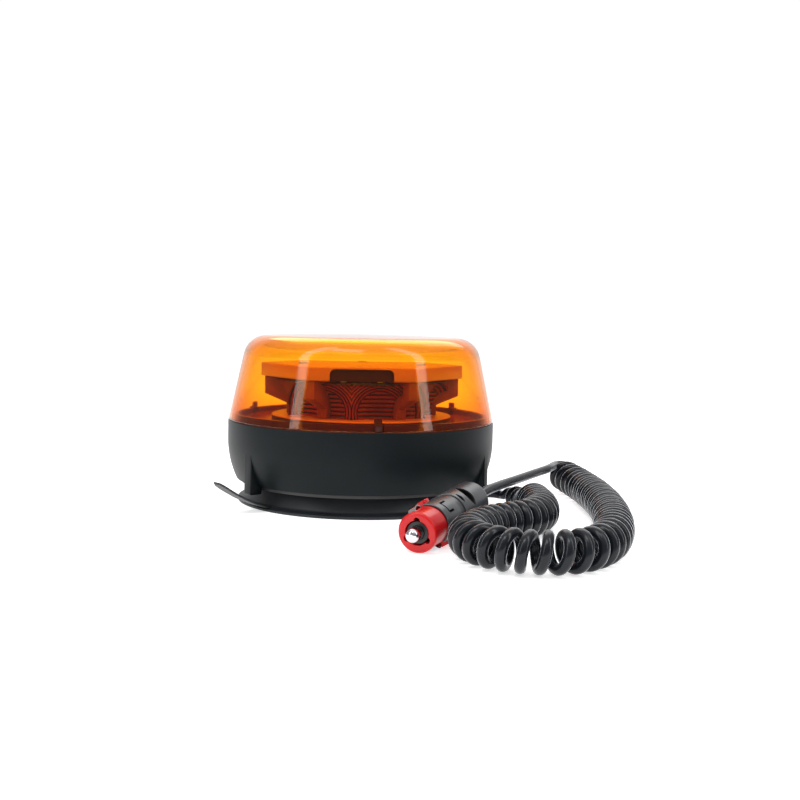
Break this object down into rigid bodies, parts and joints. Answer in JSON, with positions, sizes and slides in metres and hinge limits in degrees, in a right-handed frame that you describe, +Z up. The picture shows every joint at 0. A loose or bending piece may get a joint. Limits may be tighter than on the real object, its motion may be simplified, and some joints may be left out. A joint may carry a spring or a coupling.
{
  "type": "magnetic warning light",
  "caption": "Low amber warning beacon on a magnetic rubber sole with a pull tab, a curly cord and a vehicle socket plug with a slip-off adapter ring.",
  "frame": {"origin": "centre of the sole's lower face", "axes": "+Z up along the beacon's axis, -Y to the front with the plug"},
  "size_m": [0.24, 0.3055, 0.1066],
  "materials": {
    "housing": "satin",
    "lens": "clear amber",
    "rubber": "matte",
    "plate": "matte",
    "screws": "zinc",
    "pot": "zinc",
    "magnet": "matte",
    "sole": "matte",
    "board": "solder mask",
    "inductor": "wound wire",
    "capacitors": "sleeved",
    "disc": "satin",
    "bracket": "satin",
    "board_white": "white solder mask",
    "chips": "phosphor",
    "sink": "black anodised",
    "cover": "satin",
    "cord": "satin",
    "plug": "semi-gloss",
    "bright": "polished",
    "fuse": "clear",
    "adapter": "glossy",
    "reflector": "glossy"
  },
  "bodies": {
    "beacon": {"housing": "housing", "lens_seal": "rubber", "base_plate": "plate", "base_seal": "rubber", "base_screws": "screws", "magnet_pot": "pot", "magnet_ring": "magnet", "magnet_bolt": "screws", "magnet_sole": "sole", "driver_board": "board", "board_screws": "screws", "inductor": "inductor", "capacitors": "capacitors", "module_disc": "disc", "module_brackets": "bracket", "led_board": "board_white", "led_chips": "chips", "heat_sink": "sink", "hex_cover": "cover", "cover_screws": "screws", "cable_boot": "rubber", "cord_tail": "cord", "coil_start": "cord", "cord_coil": "cord", "cord_lead": "cord", "plug_shell_front": "plug", "plug_shell_rear": "plug", "plug_nose": "plug", "nose_contact": "bright", "contact_spring": "screws", "reflector_1": "reflector", "reflector_2": "reflector", "reflector_3": "reflector", "reflector_4": "reflector", "reflector_5": "reflector", "reflector_6": "reflector"},
    "lens": {"lens": "lens"},
    "adapter": {"adapter_ring": "adapter"},
    "contact": {"centre_contact": "bright", "plug_fuse": "fuse"},
    "clip_1": {"side_clip_1": "bright"},
    "clip_2": {"side_clip_2": "bright"}
  },
  "joints": [
    {"name": "lens_lift", "type": "slide", "parent": "beacon", "child": "lens", "axis": [0, 0, 1], "range_m": [0, 0.06]},
    {"name": "adapter_pull", "type": "slide", "parent": "beacon", "child": "adapter", "axis": [-0.4298, -0.901, -0.0593], "range_m": [0, 0.03]},
    {"name": "clip_press_1", "type": "slide", "parent": "adapter", "child": "clip_1", "axis": [0.5, -0.1827, -0.8466], "range_m": [0, 0.0008], "stiffness_N_per_m": 800, "springref_m": -0.0005},
    {"name": "clip_press_2", "type": "slide", "parent": "adapter", "child": "clip_2", "axis": [-0.5, 0.1827, 0.8466], "range_m": [0, 0.0008], "stiffness_N_per_m": 800, "springref_m": -0.0005},
    {"name": "contact_press", "type": "slide", "parent": "beacon", "child": "contact", "axis": [0.4298, 0.901, 0.0593], "range_m": [0, 0.004], "stiffness_N_per_m": 500, "springref_m": -0.002, "deforming": ["contact_spring"]}
  ]
}
